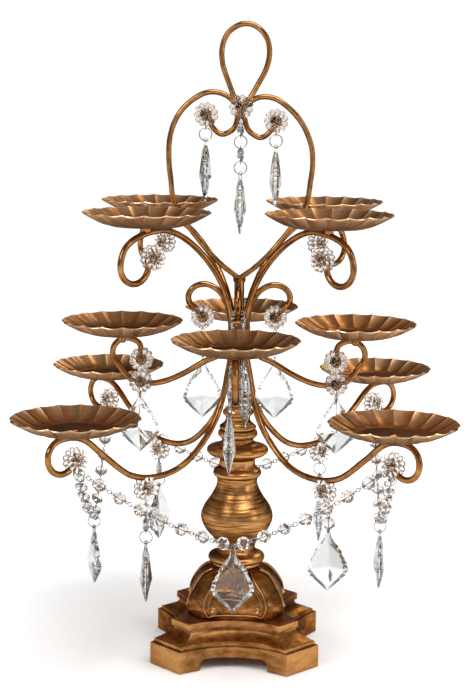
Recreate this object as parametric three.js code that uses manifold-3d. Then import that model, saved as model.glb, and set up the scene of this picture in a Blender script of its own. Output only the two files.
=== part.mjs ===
// Tiered cake stand: twelve scalloped plates on scrolled wire arms around a turned
// column, hung with faceted glass drops and bead garlands. Millimetres, +Z up.
// The origin is the centre of the footprint, on the surface that the stand rests on.
import * as THREE from 'three';
import { mergeVertices } from 'three/addons/utils/BufferGeometryUtils.js';
import Module from 'manifold-3d';

const wasm = await Module();
wasm.setup();

// ---- Driving dimensions ----------------------------------------------------
const GAP = 0.3;                   // clearance between touching pieces

const PLATE_DIAMETER = 127;
const PLATE_DEPTH = 15;
const PLATE_FLOOR_RATIO = 0.6;     // flat floor radius over rim radius
const PLATE_WALL = 1.2;
const PLATE_LEAN = 0.5;            // how far the inner face stands inside the outer one
const PLATE_LOBES = 18;
const LOBE_DIP = 1.6;              // how far the rim dips at the middle of a lobe
const LOBE_REACH = 1.3;            // how far the rim moves in and out

const TOP_TIER = { radius: 126.5, rim: 477 };
const MIDDLE_TIER = { radius: 122, rim: 356.5 };
const BOTTOM_TIER = { radius: 216, rim: 283 };

const ARM_WIRE = 3.15;             // wire radii
const HANDLE_WIRE = 2.5;
const ARM_PITCH_RADIUS = 8.9;      // where the eight arms stand around the tube
const TOP_ARM_HEIGHT = 456;        // height of the wire under each tier of plates
const MIDDLE_ARM_HEIGHT = 333;
const BOTTOM_ARM_HEIGHT = 263;
const TUBE_RADIUS = 5.2;
const TUBE_BORE = 3.4;
const TUBE_TOP = 400;

const BOSS_RADIUS = 4.5;
const SCREW_RADIUS = 1.5;
const SCREW_HOLE = 1.9;
const SCREW_HEAD = 4;
const SCREW_LENGTH = 4.2;

const ROSETTE_RADIUS = 12.5;
const ROSETTE_HALF_THICKNESS = 8.5;
const ROSETTE_PETALS = 7;

// Rosettes as [distance from the axis, height] in the plane of their wire.
const TOP_CURL_TIP = [118.5, 430];
const LOWER_ROSETTE = [127, 197];
const BOTTOM_CURL_TIP = [216, 240];
const INNER_CURL_TIP = [38, 360];
const OUTER_CURL_TIP = [102, 314];
const OUTER_ROSETTE = [103, 290];
const HANDLE_CROSSING = [0, 577];
const HANDLE_LEFT_TIP = [36, 569];
const HANDLE_RIGHT_TIP = [36, 563];

const HANDLE_TOP = 661;
const HANDLE_LEAN = 6;             // how far the loop's top leans to the right
const HANDLE_TILT = 0.083;         // fall of the handle's top, per mm towards the right
const TILT_START = 480;            // the tilt grows between these heights
const TILT_FULL = 560;

const ROD_RADIUS = 3;
const ROD_HOLE = 4;
const ROD_TOP = 300;
const NUT_RADIUS = 6.5;
const WASHER_RADIUS = 10;
const RECESS_RADIUS = 12;
const FOOT_HEIGHT = 12;            // height of the arches between the feet
const RECESS_DEPTH = 22;

const PLINTH_TOP = 46;
const DOME_TOP = 92;
const VASE_TOP = 206;
const CAP_TOP = 266;

const BEAD_RADIUS = 7;
const BEAD_LENGTH = 16;           // with the eyes of its pin
const LINK_RADIUS = 0.9;
const LINK_OVERLAP = 0.6;          // how far one piece of a drop runs into the next
const RING_RADIUS = 6.2;
const RING_WIRE = 0.8;
const PENDALOGUE_LENGTH = 63;
const PENDALOGUE_HALF_THICKNESS = 7;
const PENDALOGUE_CROWN = -38;      // height of its thickest point
const DROP_CLEARANCE = 1.8;        // from a rosette to the top of the drop under it
const HANDLE_ASIDE = 6.5;          // how far a drop hangs off the plane of its wire
const CENTRE_ASIDE = 8.5;
const INNER_ASIDE = 8.5;
const OUTER_ASIDE = 6;
const LOWER_ASIDE = 7;
const OUTER_DROP_RISE = 3;

// The front and back garlands hang wider than the side ones. Low is the height of the
// lowest link, and skew is how much the strand rises to the right.
const FRONT_STRAND = { low: 157, slope: 0.256, skew: 0.025 };
const BACK_STRAND = { low: 157, slope: 0.256, skew: 0 };
const SIDE_STRAND = { low: 142, slope: 0.363, skew: 0 };
const GARLAND_BEND = 0.00167;
const GARLAND_BEADS = 7;           // on each half

// ---- Materials -------------------------------------------------------------
function finish(colour, roughness, metalness, extra = {}) {
  const base = { color: colour, roughness, metalness, side: THREE.FrontSide };
  return new THREE.MeshStandardMaterial({ ...base, ...extra });
}
const bronze = () => finish(0x9a6232, 0.38, 0.9);
const plateBronze = () => finish(0xa46c3a, 0.33, 0.9);
const steel = () => finish(0x9a9a98, 0.35, 1.0);
const glass = () => finish(0xf2f2ee, 0.05, 0.0, { transparent: true, opacity: 0.45 });

// ---- Solids ----------------------------------------------------------------
function welded(geometry) {
  const bare = new THREE.BufferGeometry();
  bare.setAttribute('position', geometry.getAttribute('position').clone());
  if (geometry.index) {
    bare.setIndex(geometry.index.clone());
  }
  return mergeVertices(bare, 1e-3);
}

// A signed volume below zero means that the faces point inwards.
function signedVolume(geometry) {
  const position = geometry.getAttribute('position');
  const index = geometry.index.array;
  const a = new THREE.Vector3();
  const b = new THREE.Vector3();
  const c = new THREE.Vector3();
  let sum = 0;
  for (let i = 0; i < index.length; i += 3) {
    a.fromBufferAttribute(position, index[i]);
    b.fromBufferAttribute(position, index[i + 1]);
    c.fromBufferAttribute(position, index[i + 2]);
    sum += a.dot(b.cross(c)) / 6;
  }
  return sum;
}

function closed(geometry) {
  const shape = welded(geometry);
  const index = Array.from(shape.index.array);
  const kept = [];
  const inward = signedVolume(shape) < 0;
  for (let i = 0; i < index.length; i += 3) {
    const [p, q, r] = index.slice(i, i + 3);
    if (p !== q && q !== r && r !== p) {
      kept.push(...(inward ? [p, r, q] : [p, q, r]));
    }
  }
  shape.setIndex(kept);
  return shape;
}

function toSolid(geometry) {
  const shape = closed(geometry);
  const vertProperties = new Float32Array(shape.getAttribute('position').array);
  const triVerts = new Uint32Array(shape.index.array);
  return new wasm.Manifold(new wasm.Mesh({ numProp: 3, vertProperties, triVerts }));
}

function toGeometry(solid) {
  const mesh = solid.getMesh();
  const geometry = new THREE.BufferGeometry();
  const vertices = new Float32Array(mesh.vertProperties);
  geometry.setAttribute('position', new THREE.BufferAttribute(vertices, 3));
  geometry.setIndex(Array.from(mesh.triVerts));
  return geometry;
}

function join(geometries) {
  return toGeometry(geometries.map(toSolid).reduce((all, next) => all.add(next)));
}

function cut(geometry, tools) {
  return toGeometry(tools.map(toSolid).reduce((rest, tool) => rest.subtract(tool), toSolid(geometry)));
}

// Rings of points with the same count, joined in order; the ends are filled with fans.
function loft(rings) {
  const count = rings[0].length;
  const points = rings.flat();
  const last = (rings.length - 1) * count;
  const index = [];
  for (let low = 0; low < last; low += count) {
    const high = low + count;
    for (let i = 0; i < count; i += 1) {
      const next = (i + 1) % count;
      index.push(low + i, low + next, high + next, low + i, high + next, high + i);
    }
  }
  const middle = (ring) => ring
    .reduce((sum, point) => sum.add(point), new THREE.Vector3())
    .divideScalar(count);
  const startCentre = points.push(middle(rings[0])) - 1;
  const endCentre = points.push(middle(rings[rings.length - 1])) - 1;
  for (let i = 0; i < count; i += 1) {
    const next = (i + 1) % count;
    index.push(startCentre, next, i, endCentre, last + i, last + next);
  }
  const geometry = new THREE.BufferGeometry().setFromPoints(points);
  geometry.setIndex(index);
  return geometry;
}

function ringOf(count, height, radiusAt) {
  return Array.from({ length: count }, (_, i) => {
    const angle = (2 * Math.PI * i) / count;
    const radius = radiusAt(i);
    return new THREE.Vector3(radius * Math.cos(angle), radius * Math.sin(angle), height);
  });
}

// A turned solid from [radius, height] pairs, closed on the axis at both ends.
function turned(outline, sides) {
  const profile = outline.map(([radius, height]) => new THREE.Vector2(radius, height));
  const foot = new THREE.Vector2(0, outline[0][1]);
  const head = new THREE.Vector2(0, outline[outline.length - 1][1]);
  return new THREE.LatheGeometry([foot, ...profile, head], sides).rotateX(Math.PI / 2);
}

function post(radius, low, high, sides = 12) {
  const cylinder = new THREE.CylinderGeometry(radius, radius, high - low, sides);
  return cylinder.rotateX(Math.PI / 2).translate(0, 0, (low + high) / 2);
}

// Round wire along a curve.
function wire(curve, radius, steps, sides = 5) {
  const section = new THREE.Shape();
  section.absarc(0, 0, radius, 0, 2 * Math.PI);
  const outline = new THREE.Shape(section.getSpacedPoints(sides).slice(0, -1));
  return new THREE.ExtrudeGeometry(outline, { steps, bevelEnabled: false, extrudePath: curve });
}

// A smooth curve in the XZ plane through [x, z] points.
function planeCurve(points) {
  return new THREE.CatmullRomCurve3(points.map(([x, z]) => new THREE.Vector3(x, 0, z)));
}

// Points on an arc in the XZ plane, from one angle to the other, in degrees.
function arc(x, z, radius, from, to, count) {
  return Array.from({ length: count }, (_, i) => {
    const angle = THREE.MathUtils.degToRad(from + ((to - from) * i) / (count - 1));
    return [x + radius * Math.cos(angle), z + radius * Math.sin(angle)];
  });
}

// ---- Rosettes and screw bosses on the wires ---------------------------------
// A flower with a petal face on each side of the wire, its axis along Y.
function rosette([x, z]) {
  const face = ROSETTE_RADIUS * 0.5;
  const half = ROSETTE_HALF_THICKNESS;
  const rings = [
    ringOf(ROSETTE_PETALS, -half, () => face),
    ringOf(ROSETTE_PETALS, 0, () => ROSETTE_RADIUS),
    ringOf(ROSETTE_PETALS, half, () => face),
  ];
  return loft(rings).rotateX(Math.PI / 2).translate(x, 0, z);
}

function boss(x, wireHeight, plateUnderside) {
  return post(BOSS_RADIUS, wireHeight, plateUnderside - GAP, 6).translate(x, 0, 0);
}

function screwHole(x, plateUnderside) {
  return post(SCREW_HOLE, plateUnderside - SCREW_LENGTH, plateUnderside + 5, 6).translate(x, 0, 0);
}

// ---- Arms, each drawn in the XZ plane and turned to its place ----------------
function underside(tier) {
  return tier.rim - PLATE_DEPTH;
}

function mainArm() {
  const topCurl = arc(142, 423.5, 18, 165, 370, 8);
  const bottomCurl = arc(232.5, 245.5, 17, 78, -175, 9);
  const path = [
    TOP_CURL_TIP,
    ...topCurl,
    [154, 441],
    [141, 450],
    [TOP_TIER.radius - 10, TOP_ARM_HEIGHT],
    [96, 455],
    [66, 440],
    [36, 412],
    [18, 383],
    [10.5, 360],
    [ARM_PITCH_RADIUS, 342],
    [10.5, 324],
    [15, 304],
    [22, 277],
    [32, 255],
    [48, 235],
    [76, 214],
    [108, 207],
    [145, 213],
    [180, 238],
    [204, 257.5],
    [BOTTOM_TIER.radius + 2, 262.5],
    ...bottomCurl,
    BOTTOM_CURL_TIP,
  ];
  const solid = join([
    wire(planeCurve(path), ARM_WIRE, 54),
    boss(TOP_TIER.radius, TOP_ARM_HEIGHT, underside(TOP_TIER)),
    boss(BOTTOM_TIER.radius, BOTTOM_ARM_HEIGHT, underside(BOTTOM_TIER)),
    rosette(TOP_CURL_TIP),
    rosette(LOWER_ROSETTE),
    rosette(BOTTOM_CURL_TIP),
  ]);
  const holes = [
    screwHole(TOP_TIER.radius, underside(TOP_TIER)),
    screwHole(BOTTOM_TIER.radius, underside(BOTTOM_TIER)),
  ];
  return cut(solid, holes);
}

function middleArm() {
  const outerLoop = arc(117, 320.5, 15.5, 118, -50, 7);
  const path = [
    INNER_CURL_TIP,
    [45, 368],
    [51.5, 374],
    [53, 382],
    [47, 391],
    [35, 394],
    [22, 388],
    [12.5, 374],
    [ARM_PITCH_RADIUS, 358],
    [ARM_PITCH_RADIUS, 340],
    [12.5, 327],
    [21, 319],
    [36, 312],
    [58, 299],
    [78, 290.5],
    [96, 288],
    [113, 292],
    ...outerLoop.reverse(),
    [104, 330],
    OUTER_CURL_TIP,
  ];
  const solid = join([
    wire(planeCurve(path), ARM_WIRE, 36),
    boss(MIDDLE_TIER.radius, MIDDLE_ARM_HEIGHT, underside(MIDDLE_TIER)),
    rosette(INNER_CURL_TIP),
    rosette(OUTER_CURL_TIP),
    rosette(OUTER_ROSETTE),
  ]);
  return cut(solid, [screwHole(MIDDLE_TIER.radius, underside(MIDDLE_TIER))]);
}

// ---- Handle ------------------------------------------------------------------
// The legs stand level, and the top above them is tilted towards the right.
function tilted([x, z]) {
  return [x, z - HANDLE_TILT * x * THREE.MathUtils.smoothstep(z, TILT_START, TILT_FULL)];
}

function handle() {
  const crossing = HANDLE_CROSSING[1];
  const halfLoop = [
    [0, HANDLE_TOP],
    [12, 657],
    [20.5, 648],
    [24.2, 634],
    [22.2, 618],
    [15.5, 602],
    [8, 586],
    [2.8, 576],
    [3.7, 565],
    [7, 555],
    [13.5, 549.5],
    [20, 547.5],
    [26.5, 551],
    [31.5, 557.5],
    [34, 566],
  ];
  const scroll = [
    [3, crossing],
    [8, 582],
    [15, 587],
    [25, 589.5],
    [36, 588],
    [48, 581],
    [59.5, 570],
    [68, 556],
    [73, 540],
    [74, 521],
    [72, 502],
    [68, 477],
    [54, 455],
    [34, 430],
    [17, 413],
    [3, 402.8],
  ];
  const mirrored = (points) => points.map(([x, z]) => [-x, z]);
  const lean = (z) => HANDLE_LEAN * Math.max(0, (z - crossing) / (HANDLE_TOP - crossing));
  const loop = [...mirrored(halfLoop).reverse(), ...halfLoop.slice(1)]
    .map(([x, z]) => tilted([x + lean(z), z]));
  return join([
    wire(planeCurve(loop), HANDLE_WIRE, 40),
    wire(planeCurve(scroll.map(tilted)), HANDLE_WIRE, 24),
    wire(planeCurve(mirrored(scroll).map(tilted)), HANDLE_WIRE, 24),
    rosette(HANDLE_CROSSING),
    rosette(HANDLE_RIGHT_TIP),
    rosette([-HANDLE_LEFT_TIP[0], HANDLE_LEFT_TIP[1]]),
  ]);
}

// ---- Plates --------------------------------------------------------------------
function plate() {
  const sides = PLATE_LOBES * 2;
  const rim = PLATE_DIAMETER / 2 - LOBE_REACH;
  const floor = rim * PLATE_FLOOR_RATIO;
  const wave = (i) => (i % 2 === 0 ? 1 : -1);
  const flat = (radius, height) => ringOf(sides, height, () => radius);
  const scalloped = (radius, height) => {
    const ring = ringOf(sides, height, (i) => radius + LOBE_REACH * wave(i));
    ring.forEach((point, i) => point.setZ(height - (LOBE_DIP * (1 + wave(i))) / 2));
    return ring;
  };
  const dish = loft([
    flat(floor, 0),
    scalloped(rim, PLATE_DEPTH - PLATE_WALL),
    scalloped(rim - PLATE_LEAN, PLATE_DEPTH),
    flat(floor - PLATE_LEAN, PLATE_WALL),
  ]);
  return cut(dish, [post(SCREW_HOLE, -5, 5, 6)]);
}

function plateScrew() {
  const floor = PLATE_WALL + GAP;
  return turned([
    [SCREW_RADIUS, floor - SCREW_LENGTH],
    [SCREW_RADIUS, floor],
    [SCREW_HEAD, floor],
    [SCREW_HEAD * 0.5, floor + 1.3],
  ], 6);
}

// ---- Base and column -------------------------------------------------------------
// An eight-cornered plan with four hollow sides: reach is the distance from the axis
// to a side's corners, half is half of a side, and sag is how far a side curves in.
function hollowPlan(reach, half, sag, height) {
  const ring = [];
  const steps = 4;
  for (let side = 0; side < 4; side += 1) {
    for (let i = 0; i <= steps; i += 1) {
      const along = half * ((2 * i) / steps - 1);
      const depth = reach - sag * (1 - (along / half) ** 2);
      const point = new THREE.Vector3(depth, along, height);
      ring.push(point.applyAxisAngle(new THREE.Vector3(0, 0, 1), (side * Math.PI) / 2));
    }
  }
  return ring;
}

function plinth() {
  const slabs = loft([
    hollowPlan(88, 55, 21, 0),
    hollowPlan(88, 55, 21, 23),
    hollowPlan(84, 53, 20, 23),
    hollowPlan(84, 53, 20, 27),
    hollowPlan(82, 52, 20, 27),
    hollowPlan(73, 49, 18, 30),
    hollowPlan(66, 46, 16, 35),
    hollowPlan(64, 45, 16, 39),
    hollowPlan(66.5, 47, 16, 39),
    hollowPlan(66.5, 47, 16, PLINTH_TOP),
  ]);
  const arch = new THREE.Shape();
  arch.moveTo(-35, -5);
  arch.lineTo(-35, 4);
  arch.quadraticCurveTo(-34, FOOT_HEIGHT, -25, FOOT_HEIGHT);
  arch.lineTo(25, FOOT_HEIGHT);
  arch.quadraticCurveTo(34, FOOT_HEIGHT, 35, 4);
  arch.lineTo(35, -5);
  const length = 200;
  const options = { depth: length, bevelEnabled: false, curveSegments: 4 };
  const across = () => new THREE.ExtrudeGeometry(arch, options)
    .rotateX(Math.PI / 2)
    .translate(0, length / 2, 0);
  return cut(slabs, [
    across(),
    across().rotateZ(Math.PI / 2),
    post(RECESS_RADIUS, FOOT_HEIGHT - 2, RECESS_DEPTH),
    post(ROD_HOLE, 0, 60),
  ]);
}

// Four bulging panels with narrower faces between them: reach is the distance from
// the axis to a panel, and half is half of its width.
function panelPlan(reach, half, height) {
  const ring = [];
  for (let side = 0; side < 4; side += 1) {
    for (const [x, y] of [[reach, -half], [reach * 1.03, 0], [reach, half]]) {
      const point = new THREE.Vector3(x, y, height);
      ring.push(point.applyAxisAngle(new THREE.Vector3(0, 0, 1), (side * Math.PI) / 2));
    }
  }
  return ring;
}

function dome() {
  const body = loft([
    panelPlan(47, 32.5, PLINTH_TOP + GAP),
    panelPlan(49, 33.5, 50),
    panelPlan(50, 34, 55),
    panelPlan(49, 33.5, 62),
    panelPlan(45.5, 30, 70),
    panelPlan(42, 25, 77),
    panelPlan(36.5, 17, 85),
    panelPlan(28, 11, 90),
    panelPlan(22, 9, DOME_TOP),
  ]);
  return cut(body, [post(ROD_HOLE, 0, 120, 8)]);
}

function vase() {
  const body = turned([
    [24, DOME_TOP + GAP],
    [25.7, 94.5],
    [25, 97],
    [29, 99],
    [30, 102],
    [28.5, 105.5],
    [21.5, 109],
    [19.8, 114],
    [24, 121],
    [33, 132],
    [37.8, 142],
    [38, 149],
    [34.5, 158],
    [27, 169],
    [22.2, 179],
    [21.4, 185],
    [25, 192],
    [25.5, 195.5],
    [22, 199],
    [18.4, VASE_TOP],
  ], 16);
  return cut(body, [post(ROD_HOLE, 0, 240, 8)]);
}

function columnCap() {
  const body = turned([
    [18.4, VASE_TOP + GAP],
    [20, 210],
    [30, 214],
    [32.5, 218.5],
    [30, 222],
    [18.5, 226],
    [16.4, 230],
    [20, 233.5],
    [20.8, 237],
    [18.5, 240.5],
    [19.5, 243.5],
    [15, 248],
    [12.8, 252.5],
    [14.5, 256],
    [16, 258.5],
    [14, 263],
    [9, CAP_TOP],
  ], 16);
  return cut(body, [post(ROD_HOLE, 150, 300, 8)]);
}

function centreTube() {
  const bore = post(TUBE_BORE, CAP_TOP - 10, ROD_TOP + 5);
  return cut(post(TUBE_RADIUS, CAP_TOP + GAP, TUBE_TOP), [bore]);
}

function baseNut() {
  const nut = post(NUT_RADIUS, FOOT_HEIGHT + 1.2, FOOT_HEIGHT + 6.2, 6);
  return cut(nut, [post(ROD_RADIUS + GAP, 0, 40)]);
}

function baseWasher() {
  const washer = post(WASHER_RADIUS, FOOT_HEIGHT + 6.5, RECESS_DEPTH - GAP);
  return cut(washer, [post(ROD_RADIUS + GAP, 0, 40)]);
}

// ---- Glass drops --------------------------------------------------------------------
// Every piece of a drop starts at height 0 and hangs down by its own length. Its flat
// side faces along Y.
function link(length) {
  return () => ({ length, shape: post(LINK_RADIUS, -length - 1, 1, 4) });
}

function bead() {
  const outline = [
    [LINK_RADIUS, -BEAD_LENGTH],
    [BEAD_RADIUS, -BEAD_LENGTH / 2],
    [LINK_RADIUS, 0],
  ];
  return { length: BEAD_LENGTH, shape: turned(outline, 6) };
}

function jumpRing() {
  const torus = new THREE.TorusGeometry(RING_RADIUS, RING_WIRE, 4, 10);
  return {
    length: 2 * RING_RADIUS - 1,
    shape: torus.rotateX(Math.PI / 2).translate(0, 0, -RING_RADIUS + 0.5),
  };
}

// A pear-shaped drop: a flat outline that rises to a crown on each face.
function pendalogue() {
  const half = [
    [1.5, 0],
    [3.6, -7],
    [10.2, -17],
    [15.5, -26],
    [20.3, -38],
    [18.6, -48],
    [6.6, -57],
    [0, -PENDALOGUE_LENGTH],
  ];
  const other = half.slice(0, -1).reverse().map(([x, z]) => [-x, z]);
  const outline = [...half, ...other];
  const ring = (y, scale) => outline.map(([x, z]) => {
    const height = (z - PENDALOGUE_CROWN) * scale + PENDALOGUE_CROWN;
    return new THREE.Vector3(x * scale, y, height);
  });
  const depth = PENDALOGUE_HALF_THICKNESS;
  const crown = 0.15;
  const body = loft([ring(-depth, crown), ring(0, 1), ring(depth, crown)]);
  return { length: PENDALOGUE_LENGTH, shape: body };
}

// The same piece, swivelled about the line that it hangs on, in degrees.
function swivelled(make, angle) {
  return () => {
    const { length, shape } = make();
    return { length, shape: shape.rotateZ(THREE.MathUtils.degToRad(angle)) };
  };
}

function drop(pieces) {
  const placed = [];
  let height = 0;
  for (const make of pieces) {
    const piece = make();
    placed.push(piece.shape.translate(0, 0, height));
    height -= piece.length - LINK_OVERLAP;
  }
  return join(placed);
}

// ---- Garlands ----------------------------------------------------------------------
const GARLAND_REACH = BOTTOM_TIER.radius / Math.SQRT2;

function garlandHeight(x, { low, slope, skew }) {
  return low + slope * Math.abs(x) + GARLAND_BEND * x * x + skew * x;
}

// A strand from one arm's lower curl to the next: beads with wire links between them,
// drawn in the XZ plane, with a drop at its middle.
function garland(pieces, strand) {
  const end = GARLAND_REACH - ROSETTE_RADIUS;
  const beads = 2 * GARLAND_BEADS;
  const pitch = (2 * end) / beads;
  const stations = [];
  for (let i = 0; i < beads; i += 1) {
    const middle = -end + pitch * (i + 0.5);
    stations.push([middle - BEAD_RADIUS, LINK_RADIUS]);
    stations.push([middle, BEAD_RADIUS]);
    stations.push([middle + BEAD_RADIUS, LINK_RADIUS]);
  }
  const rings = stations.map(([x, radius]) => {
    const lean = Math.atan2(garlandHeight(x + 1, strand) - garlandHeight(x - 1, strand), 2);
    return ringOf(5, 0, () => radius).map((point) => {
      const across = new THREE.Vector3(0, point.x, point.y);
      across.applyAxisAngle(new THREE.Vector3(0, 1, 0), -lean);
      return across.add(new THREE.Vector3(x, 0, garlandHeight(x, strand)));
    });
  });
  const shape = drop(pieces).translate(0, 0, strand.low + LINK_RADIUS / 2);
  return join([loft(rings), shape]);
}

// ---- Assembly ------------------------------------------------------------------------
const stand = new THREE.Group();

function place(name, geometry, material, parent = stand) {
  const mesh = new THREE.Mesh(geometry, material);
  mesh.name = name;
  parent.add(mesh);
  return mesh;
}

// A group whose X axis points away from the column at an azimuth in degrees.
function spoke(azimuth) {
  const group = new THREE.Group();
  group.rotation.z = THREE.MathUtils.degToRad(azimuth);
  stand.add(group);
  return group;
}

place('base_plinth', plinth(), bronze());
place('base_dome', dome(), bronze());
place('column_vase', vase(), bronze());
place('column_cap', columnCap(), bronze());
place('tie_rod', post(ROD_RADIUS, FOOT_HEIGHT + 0.5, ROD_TOP, 10), steel());
place('base_nut', baseNut(), steel());
place('base_washer', baseWasher(), steel());
place('centre_tube', centreTube(), bronze());
place('handle_frame', handle(), bronze());

const diagonals = { back_right: 45, back_left: 135, front_left: 225, front_right: 315 };
const squares = { right: 0, back: 90, left: 180, front: 270 };

function addPlate(name, tier, group) {
  const height = underside(tier);
  const dish = place(`${name}_plate`, closed(plate()), plateBronze(), group);
  dish.position.set(tier.radius, 0, height);
  const screw = place(`${name}_plate_screw`, closed(plateScrew()), bronze(), group);
  screw.position.set(tier.radius, 0, height);
}

for (const [side, azimuth] of Object.entries(diagonals)) {
  const group = spoke(azimuth);
  place(`main_arm_${side}`, mainArm(), bronze(), group);
  addPlate(`top_${side}`, TOP_TIER, group);
  addPlate(`bottom_${side}`, BOTTOM_TIER, group);
}

for (const [side, azimuth] of Object.entries(squares)) {
  const group = spoke(azimuth);
  place(`middle_arm_${side}`, middleArm(), bronze(), group);
  addPlate(`middle_${side}`, MIDDLE_TIER, group);
}

// A drop hangs below the rosette at [radius, height] on a spoke. Aside moves it off the
// plane of the arm, to hang from one face of the rosette, and turn swivels its flat side.
function hang(name, pieces, azimuth, [radius, height], { aside = 0, turn = 0 } = {}) {
  const mesh = place(name, drop(pieces), glass(), spoke(azimuth));
  mesh.position.set(radius, aside, height - ROSETTE_RADIUS - DROP_CLEARANCE);
  mesh.rotation.z = THREE.MathUtils.degToRad(turn);
}

// A drop on a ring shows its edge where the ring shows its face.
const edgeOn = swivelled(pendalogue, 90);
const ringDrop = [jumpRing, edgeOn];
hang('handle_drop_left', ringDrop, 180, HANDLE_LEFT_TIP, { aside: HANDLE_ASIDE });
hang('handle_drop_right', ringDrop, 0, HANDLE_RIGHT_TIP, { aside: -HANDLE_ASIDE });
const centreChain = [bead, jumpRing, bead, jumpRing, edgeOn];
hang('handle_drop_centre', centreChain, 0, HANDLE_CROSSING, { aside: -CENTRE_ASIDE });

// The inner drops hang behind the wires as seen from the front, the outer ones before.
const innerAside = { right: INNER_ASIDE, back: INNER_ASIDE, left: -INNER_ASIDE, front: INNER_ASIDE };
const outerAside = { right: -OUTER_ASIDE, back: OUTER_ASIDE, left: OUTER_ASIDE, front: -OUTER_ASIDE };
const innerPieces = [link(8), jumpRing, link(15), pendalogue];
const outerSeat = [OUTER_ROSETTE[0], OUTER_ROSETTE[1] + OUTER_DROP_RISE];
for (const [side, azimuth] of Object.entries(squares)) {
  hang(`inner_drop_${side}`, innerPieces, azimuth, INNER_CURL_TIP, { aside: innerAside[side] });
  hang(`outer_drop_${side}`, [pendalogue], azimuth, outerSeat, { aside: outerAside[side] });
}

const frontLeft = { turn: -45 };
hang('lower_drop_front_left', [bead, bead, jumpRing, edgeOn], 225, LOWER_ROSETTE, frontLeft);
const frontRight = { aside: LOWER_ASIDE, turn: 45 };
hang('lower_drop_front_right', [link(13), bead, pendalogue], 315, LOWER_ROSETTE, frontRight);
const backLeft = [bead, jumpRing, swivelled(pendalogue, 62)];
hang('lower_drop_back_left', backLeft, 135, LOWER_ROSETTE, { turn: -135 });
hang('lower_drop_back_right', [jumpRing, bead, edgeOn], 45, LOWER_ROSETTE, { turn: -45 });

const sideRing = swivelled(jumpRing, 90);
const garlands = {
  front: garland([link(5), pendalogue], FRONT_STRAND),
  back: garland([link(5), pendalogue], BACK_STRAND),
  left: garland([sideRing, swivelled(pendalogue, 22)], SIDE_STRAND),
  right: garland([sideRing, pendalogue], SIDE_STRAND),
};
for (const [side, azimuth] of Object.entries(squares)) {
  const group = spoke(azimuth);
  const strand = place(`garland_${side}`, garlands[side], glass(), group);
  strand.position.x = GARLAND_REACH;
  strand.rotation.z = Math.PI / 2;
}

export default stand;
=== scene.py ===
"""The look of the tiered cake stand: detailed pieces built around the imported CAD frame.

Lengths in the tables are millimetres, because the part was drawn in them; every mesh
is made in metres, in the row frame, with its object at the origin.
"""
import math

import bmesh
import bpy
import numpy as np
from mathutils import Matrix, Vector, noise


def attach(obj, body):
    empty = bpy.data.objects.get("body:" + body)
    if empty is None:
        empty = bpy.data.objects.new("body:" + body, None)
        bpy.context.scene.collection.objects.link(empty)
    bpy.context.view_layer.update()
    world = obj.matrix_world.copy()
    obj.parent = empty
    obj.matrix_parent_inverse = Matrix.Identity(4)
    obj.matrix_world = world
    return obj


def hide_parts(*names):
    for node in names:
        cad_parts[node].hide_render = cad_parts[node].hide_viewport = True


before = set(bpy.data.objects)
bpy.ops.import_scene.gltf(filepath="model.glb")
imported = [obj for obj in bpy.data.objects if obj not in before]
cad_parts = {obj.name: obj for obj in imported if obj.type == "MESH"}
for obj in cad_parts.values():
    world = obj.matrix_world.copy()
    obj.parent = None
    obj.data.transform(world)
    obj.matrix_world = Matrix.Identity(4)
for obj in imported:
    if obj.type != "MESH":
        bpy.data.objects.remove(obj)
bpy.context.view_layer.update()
MM = 0.001

# ---- Driving dimensions, as in the CAD part unless noted (mm) ----
DIAGONALS = {"back_right": 45, "back_left": 135, "front_left": 225, "front_right": 315}
SQUARES = {"right": 0, "back": 90, "left": 180, "front": 270}
PLATE_RADIUS, PLATE_DEPTH, PLATE_WALL, PLATE_LOBES = 63.5, 15.0, 1.2, 18
# How far each tier's plates stand from the axis, and the height of their rims.
TIERS = {"top": (126.5, 477.0), "middle": (122.0, 356.5), "bottom": (216.0, 283.0)}
ARM_WIRE = 3.15
HANDLE_WIRE = 2.75      # 0.25 mm more in radius than the CAD handle has
ROSETTE_RADIUS, ROSETTE_HALF = 12.5, 8.5
DROP_CLEARANCE = 1.8
TOP_CURL_TIP, LOWER_ROSETTE, BOTTOM_CURL_TIP = (118.5, 430.0), (127.0, 197.0), (216.0, 240.0)
INNER_CURL_TIP, OUTER_CURL_TIP, OUTER_ROSETTE = (38.0, 360.0), (102.0, 314.0), (103.0, 290.0)
HANDLE_CROSSING, HANDLE_LEFT_TIP, HANDLE_RIGHT_TIP = (0.0, 577.0), (-36.0, 569.0), (36.0, 563.0)
GARLAND_REACH = TIERS["bottom"][0] / math.sqrt(2)
GARLAND_BEND = 0.00167
# A strand's lowest height, its rise per mm to either side, and more of it towards +X.
FRONT_STRAND, BACK_STRAND = (157.0, 0.256, 0.025), (157.0, 0.256, 0.0)
SIDE_STRAND = (142.0, 0.363, 0.0)
ROD_BORE = 4.0
PEAR_LENGTH, BEAD_LENGTH, RING_LENGTH, LINK_OVERLAP = 63.0, 16.0, 11.4, 0.6
BEAD_DEPTH, RING_RADIUS = 13.6, 6.5
FINE_WIRE, LOOP_RADIUS, LOOP_PITCH = 0.42, 1.5, 4.2


# ---- Materials ----
def rgb(code):
    """Linear colour from an sRGB hex code."""
    parts = [int(code[i:i + 2], 16) / 255 for i in (0, 2, 4)]
    linear = [c / 12.92 if c <= 0.04045 else ((c + 0.055) / 1.055) ** 2.4 for c in parts]
    return (*linear, 1.0)


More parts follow.
